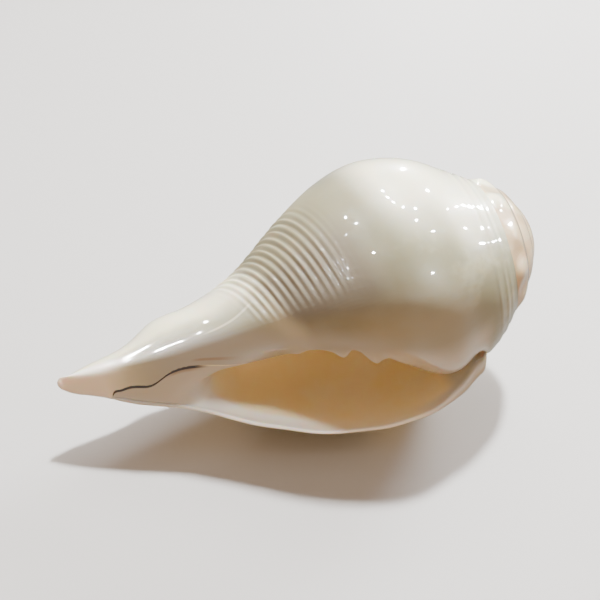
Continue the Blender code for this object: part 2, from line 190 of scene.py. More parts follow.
# The camera, in metres, with its sensor and lens in millimetres
CAMERA_PLACE = (-0.0495, -0.2179, 0.2402)
CAMERA_DIRECTION = (0.1684, 0.7238, -0.6691)
CAMERA_SENSOR = 36
CAMERA_LENS = 58.9
CAMERA_NEAR = 0.01

# The table top, in metres
TABLE_SIZE = 4
TABLE_ROUGHNESS = 0.6
TABLE_GLOSS = 0.1

# The rows that go on round the spire, and how the rows in front of them ease into them
BAND_END = 115.3
BAND_COUNT = 27
BAND_EASE = 10.0
BAND_EASE_TURNS = (345, 325)

# Mesh density: rows from one place to the next and the step between them, and columns
ROW_STEPS = ((BAND_END, 77.5, 0.5), (77.5, 40, 0.25), (40, CANAL_MOUTH, 0.25),
             (CANAL_MOUTH, 0, 0.5))
TIP_RINGS = 6
COLUMNS = 144
PILLAR_COLUMNS = 14
BEND_COLUMNS = 5
LIP_COLUMNS = 26
RIM_COLUMNS = 6

# Points nearer than this, in metres, are one
MERGE_DISTANCE = 1e-6

# Rows in one unit of the growth map, whose other coordinate counts turns
MAP_ROWS = 100

# The body's first coats: pearly clouds, and painted shade on the front, weaker near the suture
CLOUDS = (0.4, 0.62)
CLOUD_TURNS = (195, 222)
FRONT_TURNS = (222, 262)
FRONT_ROWS = (76, 88)
LESS_SHADE_ROWS = (104, 112)
LESS_SHADE_TURNS = (268, 250)
LESS_SHADE_SHARE = 0.35

# Zones of colour, painted in this order; several are painted shade on the sides away from the
# lamps. Each has its colour, how much it covers, and its
# fades: what the fade goes by, where it starts and where it is full.
OUTSIDE_ZONES = (
    ("ivory", 0.22, ("mottle", 0.5, 0.72)),  # mottling
    # the shoulder's cream, darkened as painted shade where it faces away from the lamps
    ("cream", 0.9, ("row", 97, 81), ("row", 46, 54)),  # shoulder
    ("ivory", 0.8, ("row", 46, 28)),  # neck
    ("lip", 1, ("row", 24, 12), ("turn", 225, 250)),  # tip
    # painted shade on the neck's lower front
    ("pewter", 0.85, ("turn", 224, 246), ("row", 52, 42), ("row", 12, 26)),  # beside the canal
    # painted shade at the ends of the cords
    ("stain", 0.8, ("turn", 222, 240), ("turn", 274, 258), ("row", 44, 54),
     ("row", 82, 72)),  # ends of the cords
    # painted shade under the body, in a tan tint
    ("tan", 1, ("turn", 262, 286), ("row", 58, 72), ("row", 116, 98)),  # under the body
    ("lilac", 0.8, ("row", 16, 27), ("row", 86, 60), ("slant", 214, 238)),  # glaze
    ("blush", 0.8, ("turn", 298, 322), ("row", 38, 52), ("row", 118, 110)),  # mouth's edge
    ("white", 0.6, ("from hairline", 1.6, 0.4), ("true row", 30, 33),
     ("true row", 46, 42)),  # a fine pale line on the neck
    ("stain", 0.5, ("from groove", 0.8, 0.3), ("row", 44, 50), ("row", 77, 68),
     ("turn", 190, 220), ("turn", 266, 246)),  # grooves between the cords
)
SPIRE_ZONES = (
    ("peach", 0.85, ("knob", 0.4, -0.7)),  # between the knobs
    ("peach", 0.8, ("turn", 580, 610)),  # towards the apex
    ("stain", 0.8, ("row", 125, 126.2)),  # suture
)
INSIDE_ZONES = (
    ("orange", 1, ("inward", 3, 15)),  # the deep
    ("apricot", 0.35, ("streaks", 0.45, 0.7)),  # paler streaks
    ("lip", 1, ("from_lip", 10, 7.5), ("row", 78, 62)),  # the lip's inside
    ("lip", 1, ("from_lip", 3.4, 1.8)),  # the lip's edge
    ("canal", 0.75, ("row", 98, 112), ("from_lip", 11, 6)),  # rear end of the lip
    ("canal", 0.85, ("row", 112, 117)),  # rear corner
    ("canal", 1, ("row", 48, 34)),  # floor of the canal
)
CHINK_ZONES = (
    # painted shade of a small pit at the chink's end, in brown
    ("brown", 0.7, ("inward", 2.6, 1.2), ("row", 24, 25.5), ("row", 30, 27.5),
     ("from_lip", 2.4, 3.2)),  # smudge at its end
    ("brown", 0.6, ("turn", 308, 318), ("turn", 336, 326), ("row", 27.5, 29), ("row", 35, 30.5),
     ("inward", 0.02, 0)),  # smear on the wall above
    # painted shade in the narrow chink
    ("chink", 1, ("row", 13.2, 14.2), ("row", 30.5, 28), ("from_lip", 2.4, 3.2),
     ("inward", 1.15, 0.95), ("inward", 0, 0.05)),  # the dark line
)

# The glaze's edge and the fine pale line slant across the turns, so many degrees to a row
GLAZE_SLANT = 0.9
HAIRLINE_TURN = 244
HAIRLINE_ROW = 40

# Where the spire's colours start
SPIRE_TURNS = (352, 372)
SPIRE_ROWS = (114.5, 115.5)

# How far clouds and ripples push a zone's edges about: degrees outside, otherwise millimetres
TURN_DRIFT = 26
TURN_RIPPLE = 8
ROW_DRIFT = 5
ROW_RIPPLE = 3
INWARD_DRIFT = 4
LIP_DRIFT = 3
CHINK_RIPPLE = 2
KNOB_DRIFT = 2

# Where the polish is worn off the cords, by row, and how far in the mouth's colours start
WORN_REAR_ROWS = (84, 74)
WORN_FRONT_ROWS = (40, 48)
LINING_START = (0.02, 0.7)

# Sizes of the cloudy patterns, as clouds to the metre
DRIFT_SCALE = 30
CLOUD_SCALE = 42
GLOSS_SCALE = 60
STREAK_SCALE = 70
MOTTLE_SCALE = 85
KNOB_CLOUD_SCALE = 90
RIPPLE_SCALE = 110

# The polish: a thin clear coat over a body that lets a little light through
ROUGHNESS = 0.3
GLOSS_VARIETY = 0.16
LINING_ROUGHNESS = 0.1
WORN_ROUGHNESS = 0.25
LINING_COAT_LOSS = 0.5
WORN_COAT_LOSS = 0.85
POLISH = {
    "Specular IOR Level": 0.2,
    "Coat Roughness": 0.03,
    "IOR": 1.5,
    "Subsurface Weight": 0.5,
    "Subsurface Radius": (1.0, 0.6, 0.3),
    "Subsurface Scale": 0.002,
}

# Low relief in the polish: its strength and its height in metres, and the growth lines' share
BUMP_STRENGTH = 0.3
BUMP_HEIGHT = 0.0006
LINE_SHARE = 0.12
LINE_DENSITY = 0.35
LINE_WANDER = 3
LINE_ROWS = (20, 60)

# The room that the polish mirrors: its clouds, its horizon, and how dark its dim side is
ROOM_CLOUDS = (0.35, 0.6)
ROOM_CLOUD_SCALE = 1.6
ROOM_HORIZON = (-0.1, 0.25)
ROOM_SHADE = 0.35

# The Mix node's sockets for colours
MIX_SHARE = 0
MIX_FIRST = 6
MIX_SECOND = 7
MIX_RESULT = 2


def smooth_curve(points):
    """A curve with no kinks through the points, as a function of their first number."""
    x, y = np.array(points, float).T
    step = np.diff(x)
    count = len(x)
    matrix = np.eye(count)
    right = np.zeros(count)
    for i in range(1, count - 1):
        matrix[i, i - 1:i + 2] = step[i - 1], 2 * (step[i - 1] + step[i]), step[i]
        right[i] = 6 * ((y[i + 1] - y[i]) / step[i] - (y[i] - y[i - 1]) / step[i - 1])
    bend = np.linalg.solve(matrix, right)

    def curve(at):
        at = np.clip(at, x[0], x[-1])
        i = np.clip(np.searchsorted(x, at) - 1, 0, count - 2)
        d = at - x[i]
        h = step[i]
        slope = (y[i + 1] - y[i]) / h - h * (2 * bend[i] + bend[i + 1]) / 6
        return y[i] + slope * d + bend[i] / 2 * d ** 2 + (bend[i + 1] - bend[i]) / (6 * h) * d ** 3

    return curve


suture_station = smooth_curve(SUTURE_STATION)
suture_radius = smooth_curve(SUTURE_RADIUS)
neck_offset = smooth_curve(NECK_OFFSET)
spire_lean = smooth_curve(SPIRE_LEAN)
hollow_reach = smooth_curve(HOLLOW_REACH)
wall_thickness = smooth_curve(WALL_THICKNESS)
lip_thickness = smooth_curve(LIP_THICKNESS)
pillar_outline = smooth_curve(PILLAR_OUTLINE)
pillar_inward = smooth_curve(PILLAR_INWARD)
canal_edge = smooth_curve(CANAL_EDGE)
WALL_OUTLINES = ((0, smooth_curve(LIP_OUTLINE)), (90, smooth_curve(BACK_OUTLINE)),
                 (180, smooth_curve(TOP_OUTLINE)), (270, smooth_curve(FRONT_OUTLINE)),
                 (315, smooth_curve(EDGE_OUTLINE)))


def grown(at, span):
    """Runs smoothly from 0 at the span's first number to 1 at its second."""
    share = np.clip((at - span[0]) / (span[1] - span[0]), 0, 1)
    return share * share * (3 - 2 * share)


def arch(level):
    """1 half-way between two sutures, and 0 at each."""
    return 4 * level * (1 - level)


def across(turn):
    """The direction across the axis, as y and z, so many degrees back from the lip."""
    angle = np.radians(LIP_ANGLE - turn)
    return -np.cos(angle), np.sin(angle)


def place(station, radius, turn, neck):
    """A point of the wall; neck is 1 where its section has the neck's centre, and 0 the axis."""
    y, z = across(turn)
    lip_y, lip_z = across(0)
    centre = neck_offset(station) * neck + spire_lean(station)
    return np.stack([station + 0 * y, centre * lip_y + radius * y, centre * lip_z + radius * z], -1)


def row_station(row, turn):
    """Where a row lies along the axis: it climbs with the suture, and with the cords."""
    climb = suture_station(np.minimum(turn, FULL_TURN) / FULL_TURN) - MOUTH_CORNER
    with_cords = grown(row, CORD_CLIMB_FRONT_ROWS) * grown(row, CORD_CLIMB_REAR_ROWS)
    return (row + climb * grown(row, SUTURE_CLIMB_ROWS)
            + CORD_SLANT * grown(turn, CORD_CLIMB_TURNS) * with_cords)


def between(keys, values, turns):
    """Values given at the key turns, read smoothly at other turns, row by row."""
    weights = [smooth_curve(list(zip(keys, unit)))(turns) for unit in np.eye(len(keys))]
    return np.stack(values, -1) @ np.array(weights)


def wall_radii(rows, turns):
    """Radius of the outer wall for each row and turn, up to the pillar."""
    keys = [turn for turn, outline in WALL_OUTLINES] + [turn for turn, share in PILLAR_INWARD]
    values = [outline(row_station(rows, turn)) for turn, outline in WALL_OUTLINES]
    values += [pillar_outline(row_station(rows, turn)) * share for turn, share in PILLAR_INWARD]
    return between(keys, values, turns)


def spire_band(turn, level):
    """Station and radius of the whorl that shows from its suture, level 0, to the next, 1."""
    age = turn / FULL_TURN
    low, high = suture_station(age - 1), suture_station(age)
    small, large = suture_radius(age), suture_radius(age - 1)
    swell = BULGE * (small / suture_radius(1)) ** BULGE_SHRINK
    swell = swell * arch(level) ** BULGE_FLATNESS * (1 - BULGE_LEAN * level)
    return high + (low - high) * level, small + (large - small) * level + swell


def band_rows():
    """The rows that show on the spire too."""
    return np.linspace(MOUTH_CORNER, BAND_END, BAND_COUNT)


def band_levels():
    """Levels of the rows that show on the spire, from their places at the end of one turn."""
    stations = row_station(band_rows(), FULL_TURN)
    level = np.clip((suture_station(1) - stations) / (suture_station(1) - MOUTH_CORNER), 0, 1)
    level[-1] = 1
    return level


def band_radii(turns):
    """Radius of the same rows through the last whorl, where they join the spire."""
    rows = band_rows()
    spire_turns = [FULL_TURN, 1.25 * FULL_TURN, 1.5 * FULL_TURN]
    keys = [turn for turn, outline in WALL_OUTLINES] + spire_turns
    values = [outline(row_station(rows, turn)) for turn, outline in WALL_OUTLINES]
    values += [spire_band(turn, band_levels())[1] for turn in spire_turns]
    radii = between(keys, values, turns)
    radii[0] = suture_radius(turns / FULL_TURN)
    return radii


def ease_band(rows, turns):
    """What the rows in front of the spire's take on, so that no crease shows between them."""
    near = band_rows()[-2:]
    gap = band_radii(turns)[-2:] - wall_radii(near, turns)
    slope = (gap[0] - gap[1]) / (near[0] - near[1])
    share = np.clip((BAND_END - rows[:, None]) / BAND_EASE, 0, 1)
    eased = gap[1] * (1 - 3 * share ** 2 + 2 * share ** 3)
    eased = eased - slope * BAND_EASE * (share - 2 * share ** 2 + share ** 3)
    return eased * grown(turns, BAND_EASE_TURNS)


def folds(station, turn):
    """Height of the pillar's folds, which fade out towards the front."""
    height = 0
    for centre, rise, width in PILLAR_FOLDS:
        offset = station - centre - FOLD_SLANT * (turn - FULL_TURN)
        height = height + rise * np.exp(-(offset / width) ** 2)
    return height * grown(turn, FOLD_TURNS)


def cords(rows, turns, height):
    """Height of the spiral cords, from the back of the neck to the glaze beside the mouth."""
    wave = np.cos(2 * np.pi * (rows - CORD_CREST) / CORD_SPACING)
    wave = wave * (1 + CORD_VARIETY * np.sin(rows * CORD_VARIETY_RATE))
    strength = grown(rows, CORD_FRONT_ROWS) * grown(rows, CORD_REAR_ROWS)
    span = grown(turns, CORD_BACK_TURNS) * grown(turns, CORD_MOUTH_TURNS)
    return height * (wave * strength)[:, None] * span


def callus(rows, turns, height):
    """Height of the glaze beside the mouth, which stands a little proud of the wall."""
    strength = grown(rows, CALLUS_ROWS) * grown(rows, CALLUS_REAR_ROWS)
    return height * strength[:, None] * grown(turns, CALLUS_TURNS)


def threads(rows, turns):
    """Height of the fine threads that run beside the suture."""
    height = 0
    for centre, rise, width in THREADS:
        height = height + rise * np.exp(-((rows[:, None] - centre) / width) ** 2)
    return height * grown(turns, THREAD_TURNS) * grown(turns, KNOB_FIRST_TURNS[::-1])


def knobs(turn, level, height):
    """Height of the low knobs of the spire, which are gone near the apex."""
    strength = grown(turn, KNOB_FIRST_TURNS) * grown(turn, KNOB_LAST_TURNS)
    wave = np.cos(np.radians(turn) * KNOBS_PER_TURN)
    return height * wave * arch(level) ** KNOB_SHARPNESS * strength


def all_rows():
    """The rows from the suture to the first one behind the tip."""
    rows = [band_rows()]
    for first, last, step in ROW_STEPS:
        count = round((first - last) / step)
        rows.append(np.linspace(first, last, count + 1)[1:])
    return np.concatenate(rows)


def body_sheet(rows, sizes):
    """The last whorl's outside, from the lip once round to the pillar."""
    turns = np.linspace(0, FULL_TURN, COLUMNS + 1)
    stations = row_station(rows[:, None], turns)
    radii = wall_radii(rows, turns)
    radii[:BAND_COUNT] = band_radii(turns)
    stations[:BAND_COUNT, -1] = spire_band(FULL_TURN, band_levels())[0]
    radii[BAND_COUNT:] += folds(stations, turns)[BAND_COUNT:] + ease_band(rows[BAND_COUNT:], turns)
    radii += callus(rows, turns, sizes.callus_height / MM)
    radii += cords(rows, turns, sizes.cord_height / MM) + threads(rows, turns)
    radii *= tip_share(rows)[:, None]
    points = place(stations, radii, turns + 0 * stations, grown(turns, NECK_TURNS))
    return points, growth_map(turns / FULL_TURN, rows)


def growth_map(across_map, rows):
    """Map coordinates of a sheet's points, from its rows and what runs across them."""
    return np.stack(np.broadcast_arrays(across_map, rows[:, None] / MAP_ROWS), -1)


def bridge(first, last, leaving, arriving, share):
    """Points of a smooth curve between two points, which keeps the slopes at its ends."""
    s = share[:, None]
    return ((2 * s ** 3 - 3 * s ** 2 + 1) * first + (s ** 3 - 2 * s ** 2 + s) * leaving
            + (3 * s ** 2 - 2 * s ** 3) * last + (s ** 3 - s ** 2) * arriving)


def fill_canal(rows, body, lining):
    """Raises the canal's floor to the wall beside it, and closes the wall in front of it."""
    turns = np.linspace(0, FULL_TURN, COLUMNS + 1)
    start, end = CANAL_FLOOR_TURNS
    leave = round(start / FULL_TURN * COLUMNS)
    span = (end - start) * COLUMNS / FULL_TURN
    before = (turns[leave:] - start) / (end - start)
    inner = lining.shape[1] - RIM_COLUMNS - 2
    within = np.linspace(0, 1, inner + 1)
    for i, row in enumerate(rows):
        risen = grown(row, CANAL_FLOOR_ROWS)
        if risen == 0:
            continue
        line = body[i]
        leaving = (line[leave] - line[leave - 1]) * span
        arriving = (line[1] - line[0]) * span
        if row <= CANAL_MOUTH:
            body[i, leave:] = bridge(line[leave], line[0], leaving, arriving, before)
            continue
        inside = lining[i]
        edge = canal_edge(row)
        floor = [bridge(line[leave], inside[inner], leaving, arriving, share)
                 for share in (before * edge, edge + (1 - edge) * within)]
        body[i, leave:] += (floor[0] - line[leave:]) * risen
        lining[i, :inner + 1] += (floor[1] - inside[:inner + 1]) * risen


def tip_share(row):
    """Share of its width that a row keeps where the tip is rounded."""
    beyond = np.clip(TIP_ROUNDING - row, 0, None) / (TIP_ROUNDING - CANAL_TIP)
    return np.sqrt(1 - beyond ** 2)


def add_tip(body, growth):
    """Rounds off the canal's tip with rings that shrink to a point."""
    ring = body[-1]
    middle = ring.mean(0)
    rings = []
    for row in CANAL_TIP * np.sin(np.linspace(0, pi / 2, TIP_RINGS + 1)[1:]):
        shrunk = middle + (ring - middle) * tip_share(row) / tip_share(0)
        shrunk[:, 0] = ring[:, 0] + row
        rings.append(shrunk)
    return (np.concatenate([body, rings]),
            np.concatenate([growth, np.repeat(growth[-1:], TIP_RINGS, 0)]))


def spire_sheet(sizes):
    """The whorls of the spire, one strip that winds up from the pillar to the apex."""
    level = band_levels()
    strip = []
    turns = np.arange(COLUMNS, int(COLUMNS * TURNS) + 1) * FULL_TURN / COLUMNS
    for turn in turns:
        station, radius = spire_band(turn, level)
        radius = radius + knobs(turn, level, sizes.knob_height / MM)
        strip.append(place(station, radius, turn, 0))
    return np.stack(strip, 1), growth_map(turns / FULL_TURN, band_rows())


def lining_sheet(rows, body, sizes):
    """The hollow of the mouth: in along the pillar, round, and out along the lip's inside."""
    rows = rows[rows >= CANAL_MOUTH]
    last = len(rows) - 1
    corner = BAND_COUNT - 1
    columns = PILLAR_COLUMNS + BEND_COLUMNS + LIP_COLUMNS + RIM_COLUMNS + 1
    sheet = np.zeros((len(rows), columns + 1, 3))
    sheet[0] = body[0, 0]
    sheet[last] = body[last, 0]
    for i in range(1, last):
        row = rows[i]
        reach = hollow_reach(row)
        start = body[max(i, corner), -1]
        pillar = pillar_side(row, reach, i > corner)
        lip = lip_side(row, reach)
        rim = rim_side(row, body[i, 0], lip[-1], sizes.lip_rounding)
        sheet[i] = np.concatenate([start[None], pillar, deepest(pillar[-1], lip[0]),
                                   lip, rim, body[i, 0][None]])
    return sheet, rows


def pillar_side(row, reach, below_corner):
    """The pillar's face, from the mouth's edge inward."""
    depth = np.linspace(0, 1, PILLAR_COLUMNS + 1)[1:]
    turns = FULL_TURN + reach * depth
    start = row_station(row, FULL_TURN) if below_corner else MOUTH_CORNER
    stations = start + (row_station(row, reach) - start) * grown(turns, PILLAR_TURNS)
    radii = pillar_outline(stations) * pillar_inward(turns)
    radii = radii + folds(stations, turns) * (1 - FOLD_LOSS * depth)
    return place(stations, radii, turns, 0)


def lip_side(row, reach):
    """The inside of the outer wall, from the hollow's deepest place out to the lip."""
    turns = reach * np.linspace(1, 0, LIP_COLUMNS)
    thin, thick = lip_thickness(row), wall_thickness(row)
    thickness = thin + (thick - thin) * grown(turns, LIP_TURNS)
    radii = wall_radii(np.array([row]), turns)[0] - thickness
    return place(row_station(row, turns), radii, turns, 1)


def deepest(first, last):
    """Points that carry the hollow round its deepest place."""
    steps = np.linspace(0, 1, BEND_COLUMNS + 2)[1:-1]
    points = first + (last - first) * (1 - np.cos(np.pi * steps[:, None])) / 2
    gap = np.linalg.norm(last - first)
    widest = np.minimum(radians(BEND_ANGLE), gap / 2 / np.linalg.norm(last[1:]))
    angle = widest * np.sin(np.pi * steps)
    x, y, z = points.T
    return np.stack([x, y * np.cos(angle) - z * np.sin(angle),
                     z * np.cos(angle) + y * np.sin(angle)], -1)


def rim_side(row, outer, inner, rounding):
    """Points round the lip's rim, from its inner edge to its outer one."""
    y, z = across(0)
    forward = np.array([0, z, -y]) * rounding * lip_thickness(row)
    angle = np.linspace(0, np.pi, RIM_COLUMNS + 2)[1:-1, None]
    middle = (outer + inner) / 2
    return middle + (inner - middle) * np.cos(angle) + forward * np.sin(angle)


def way_in(sheet):
    """Distance along each row from the nearer edge of the mouth, and from the lip alone."""
    steps = np.linalg.norm(np.diff(sheet, axis=1), axis=2)
    from_pillar = np.concatenate([np.zeros((len(sheet), 1)), np.cumsum(steps, 1)], 1)
    from_lip = from_pillar[:, -1:] - from_pillar
    return np.minimum(from_pillar, from_lip), from_lip


def lay_down(points):
    """Turns points from the axis as drawn to the axis as the shell lies."""
    rise = radians(AXIS_RISE)
    x, y, z = np.moveaxis(points, -1, 0)
    return np.stack([x * cos(rise) - z * sin(rise), y, x * sin(rise) + z * cos(rise)], -1)


def deselect():
    """Leaves nothing selected, so that an operator acts on what comes next alone."""
    if bpy.context.object and bpy.context.object.mode != "OBJECT":
        bpy.ops.object.mode_set(mode="OBJECT")
    bpy.ops.object.select_all(action="DESELECT")


def sheet_of(name, points, growth, inward=0, from_lip=0):
    """A grid whose points are moved to their places on the wall."""
    deselect()
    down, along = points.shape[:2]
    bpy.ops.mesh.primitive_grid_add(x_subdivisions=along - 1, y_subdivisions=down - 1, size=1)
    sheet = bpy.context.object
    sheet.name = name
    data = sheet.data
    if len(data.vertices) != down * along:
        raise RuntimeError(f"{name}: the grid has {len(data.vertices)} points")
    data.vertices.foreach_set("co", (points * MM).reshape(-1))
    corners = np.empty(len(data.loops), int)
    data.loops.foreach_get("vertex_index", corners)
    data.uv_layers[0].name = "growth"
    data.uv_layers[0].data.foreach_set("uv", growth.reshape(-1, 2)[corners].reshape(-1))
    for key, values in (("inward", inward), ("from_lip", from_lip)):
        layer = data.attributes.new(key, "FLOAT", "POINT")
        layer.data.foreach_set("value", np.broadcast_to(values * MM, (down, along)).reshape(-1))
    data.update()
    return sheet


def grow_shell(sizes):
    """The whole wall as one closed mesh, as it lies."""
    rows = all_rows()
    body, growth = body_sheet(rows, sizes)
    spire, spire_growth = spire_sheet(sizes)
    lining, lining_rows = lining_sheet(rows, body, sizes)
    fill_canal(rows, body, lining)
    inward, from_lip = way_in(lining)
    body, growth = add_tip(body, growth)
    lining_growth = growth_map(from_lip / MAP_ROWS, lining_rows)
    sheets = [
        sheet_of("conch_wall", lay_down(body), growth),
        sheet_of("spire", lay_down(spire), spire_growth),
        sheet_of("lining", lay_down(lining), lining_growth, inward, from_lip),
    ]
    deselect()
    for sheet in sheets:
        sheet.select_set(True)
    bpy.context.view_layer.objects.active = sheets[0]
    bpy.ops.object.join()
    return bpy.context.object


def close_shell(shell):
    """Merges the sheets, closes the apex and wears the underside flat, in edit mode."""
    apex = Vector(lay_down(place(np.array(APEX), 0, 0, 0)) * MM)
    bpy.ops.object.mode_set(mode="EDIT")
    bpy.ops.mesh.select_mode(type="VERT")
    bpy.ops.mesh.select_all(action="SELECT")
    bpy.ops.mesh.remove_doubles(threshold=MERGE_DISTANCE)
    bpy.ops.mesh.select_all(action="DESELECT")
    bpy.ops.mesh.select_non_manifold(extend=False, use_wire=False, use_boundary=True,
                                     use_multi_face=False, use_non_contiguous=False,
                                     use_verts=False)
    bpy.ops.mesh.extrude_edges_move()
    bpy.ops.mesh.merge(type="CENTER")
    mesh = bmesh.from_edit_mesh(shell.data)
    for vert in mesh.verts:
        if vert.select:
            vert.co = apex
    bmesh.update_edit_mesh(shell.data)
    bpy.ops.mesh.select_all(action="SELECT")
    bpy.ops.mesh.normals_make_consistent(inside=False)
    if bmesh.from_edit_mesh(shell.data).calc_volume(signed=True) < 0:
        bpy.ops.mesh.flip_normals()
    stand(shell)
    bpy.ops.mesh.select_all(action="SELECT")
    bpy.ops.mesh.bisect(plane_co=(0, 0, 0), plane_no=(0, 0, 1), use_fill=True, clear_inner=True,
                        threshold=MERGE_DISTANCE)
    bpy.ops.object.mode_set(mode="OBJECT")


def stand(shell):
    """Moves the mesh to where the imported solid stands."""
    low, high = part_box("conch_shell")
    mesh = bmesh.from_edit_mesh(shell.data)
    points = np.array([vert.co for vert in mesh.verts])
    mine_low, mine_high = points.min(0), points.max(0)
    move = Vector(((low[0] + high[0] - mine_low[0] - mine_high[0]) / 2,
                   (low[1] + high[1] - mine_low[1] - mine_high[1]) / 2,
                   high[2] - mine_high[2]))
    for vert in mesh.verts:
        vert.co += move
    bmesh.update_edit_mesh(shell.data)


class Wire:
    """A shader socket that sums can be written with; each sum on values adds a Math node."""

    def __init__(self, socket):
        self.socket = socket
        self.tree = socket.id_data

    def math(self, operation, first, second):
        return node(self.tree, "ShaderNodeMath", {"operation": operation}, {0: first, 1: second})

    def __add__(self, other):
        return self.math("ADD", self, other)

    def __radd__(self, other):
        return self.math("ADD", other, self)

    def __sub__(self, other):
        return self.math("SUBTRACT", self, other)

    def __rsub__(self, other):
        return self.math("SUBTRACT", other, self)

    def __mul__(self, other):
        return self.math("MULTIPLY", self, other)

    def __rmul__(self, other):
        return self.math("MULTIPLY", other, self)

    def __truediv__(self, other):
        return self.math("DIVIDE", self, other)

    def __rtruediv__(self, other):
        return self.math("DIVIDE", other, self)

    def __abs__(self):
        return self.math("ABSOLUTE", self, 0)


def node(tree, kind, settings=None, sockets=None, output=0):
    """Adds a shader node: its settings first, then the values or links of its sockets."""
    made = tree.nodes.new(kind)
    for key, value in (settings or {}).items():
        setattr(made, key, value)
    for key, value in (sockets or {}).items():
        if isinstance(value, Wire):
            tree.links.new(value.socket, made.inputs[key])
        else:
            made.inputs[key].default_value = value
    return Wire(made.outputs[output])


def fade(at, start, end):
    """Runs smoothly from 0 at the start to 1 at the end."""
    low, high = sorted((start, end))
    rising = node(at.tree, "ShaderNodeMapRange", {"interpolation_type": "SMOOTHSTEP"},
                  {"Value": at, "From Min": low, "From Max": high})
    return rising if start < end else 1 - rising


def blend(share, first, second):
    """Mixes two colours, each a link or three numbers."""
    first, second = [c if isinstance(c, Wire) else (*c, 1) for c in (first, second)]
    return node(share.tree, "ShaderNodeMix", {"data_type": "RGBA"},
                {MIX_SHARE: share, MIX_FIRST: first, MIX_SECOND: second}, MIX_RESULT)


def noise(place_of, scale, detail):
    """Cloudy values round a half; the scale is in clouds to the metre."""
    return node(place_of.tree, "ShaderNodeTexNoise", None,
                {"Vector": place_of, "Scale": scale, "Detail": detail})


def paint(colours, colour, zones, measures):
    """Paints zones over a colour, each where all its fades meet."""
    for name, cover, *fades in zones:
        shares = [fade(measures[key], start, end) for key, start, end in fades]
        colour = blend(prod(shares, start=cover), colour, getattr(colours, name))
    return colour


def shell_material(colours):
    """Polished shell: pearly white outside, cream and peach on the spire, apricot in the mouth."""
    material = bpy.data.materials.new("polished_shell")
    material.use_nodes = True
    tree = material.node_tree
    shader = tree.nodes["Principled BSDF"]
    place_of = node(tree, "ShaderNodeTexCoord", output="Object")
    growth = node(tree, "ShaderNodeUVMap", {"uv_map": "growth"})
    turn = node(tree, "ShaderNodeSeparateXYZ", None, {0: growth}, "X") * FULL_TURN
    row = node(tree, "ShaderNodeSeparateXYZ", None, {0: growth}, "Y") * MAP_ROWS
    inward, from_lip = [node(tree, "ShaderNodeAttribute", {"attribute_name": key}, None, "Fac") / MM
                        for key in ("inward", "from_lip")]
    drift = noise(place_of, DRIFT_SCALE, 2) - 0.5
    ripple = noise(place_of, RIPPLE_SCALE, 3) - 0.5
    lining = fade(inward, *LINING_START)
    colour = blend(lining, outside_colour(colours, place_of, turn, row, drift, ripple),
                   inside_colour(colours, place_of, inward, from_lip, row, drift))
    colour = paint(colours, colour, CHINK_ZONES,
                   {"turn": turn, "row": row + ripple * CHINK_RIPPLE, "inward": inward,
                    "from_lip": from_lip})
    worn = fade(row, *WORN_REAR_ROWS) * fade(row, *WORN_FRONT_ROWS) * (1 - lining)
    gloss = noise(place_of, GLOSS_SCALE, 3)
    bump = node(tree, "ShaderNodeBump", None,
                {"Strength": BUMP_STRENGTH, "Distance": BUMP_HEIGHT,
                 "Height": drift + growth_lines(turn, row, ripple) * LINE_SHARE})
    roughness = ROUGHNESS + gloss * GLOSS_VARIETY + lining * LINING_ROUGHNESS
    varied = {
        "Base Color": colour,
        "Roughness": roughness + worn * WORN_ROUGHNESS,
        "Coat Weight": (1 - worn * WORN_COAT_LOSS) * (1 - lining * LINING_COAT_LOSS),
        "Normal": bump,
    }
    for key, wire in varied.items():
        tree.links.new(wire.socket, shader.inputs[key])
    for key, value in POLISH.items():
        shader.inputs[key].default_value = value
    return material


def growth_lines(turn, row, ripple):
    """Faint lines that run along the lip's former places."""
    lines = node(turn.tree, "ShaderNodeTexNoise", {"noise_dimensions": "1D"},
                 {"W": turn * LINE_DENSITY + ripple * LINE_WANDER, "Scale": 1, "Detail": 3})
    return lines * fade(row, *LINE_ROWS)


def outside_colour(colours, place_of, true_turn, true_row, drift, ripple):
    """White on top, cream on the shoulder and neck, painted shade on the shoulder, front and under
    the body, and the spire's colours.
    """
    turn = true_turn + drift * TURN_DRIFT + ripple * TURN_RIPPLE
    row = true_row + drift * ROW_DRIFT + ripple * ROW_RIPPLE
    clouds = fade(noise(place_of, CLOUD_SCALE, 2), *CLOUDS) * fade(turn, *CLOUD_TURNS)
    colour = blend(clouds, colours.white, colours.pearl)
    # Painted shade on the front of the body, weaker near the suture
    front = fade(turn, *FRONT_TURNS) * fade(row, *FRONT_ROWS)
    clear = fade(row, *LESS_SHADE_ROWS) * fade(turn, *LESS_SHADE_TURNS)
    colour = blend(front * (1 - clear * LESS_SHADE_SHARE), colour, colours.pewter)
    colour = paint(colours, colour, OUTSIDE_ZONES, {
        "turn": turn,
        "row": row,
        "true row": true_row,
        "mottle": noise(place_of, MOTTLE_SCALE, 4),
        "slant": turn - row * GLAZE_SLANT,
        "from hairline": abs(true_turn - HAIRLINE_TURN + (true_row - HAIRLINE_ROW) * GLAZE_SLANT),
        "from groove": node(row.tree, "ShaderNodeMath", {"operation": "PINGPONG"},
                            {0: true_row, 1: CORD_SPACING / 2}),
    })
    behind = fade(true_turn, *SPIRE_TURNS) * fade(true_row, *SPIRE_ROWS)
    return blend(behind, colour, spire_colour(colours, place_of, true_turn, true_row))


def spire_colour(colours, place_of, turn, row):
    """Cream knobs with peach between them, and a brown line in the suture."""
    wave = node(turn.tree, "ShaderNodeMath", {"operation": "COSINE"},
                {0: turn * radians(KNOBS_PER_TURN)})
    uneven = wave + (noise(place_of, KNOB_CLOUD_SCALE, 2) - 0.5) * KNOB_DRIFT
    return paint(colours, colours.ivory, SPIRE_ZONES, {"turn": turn, "row": row, "knob": uneven})


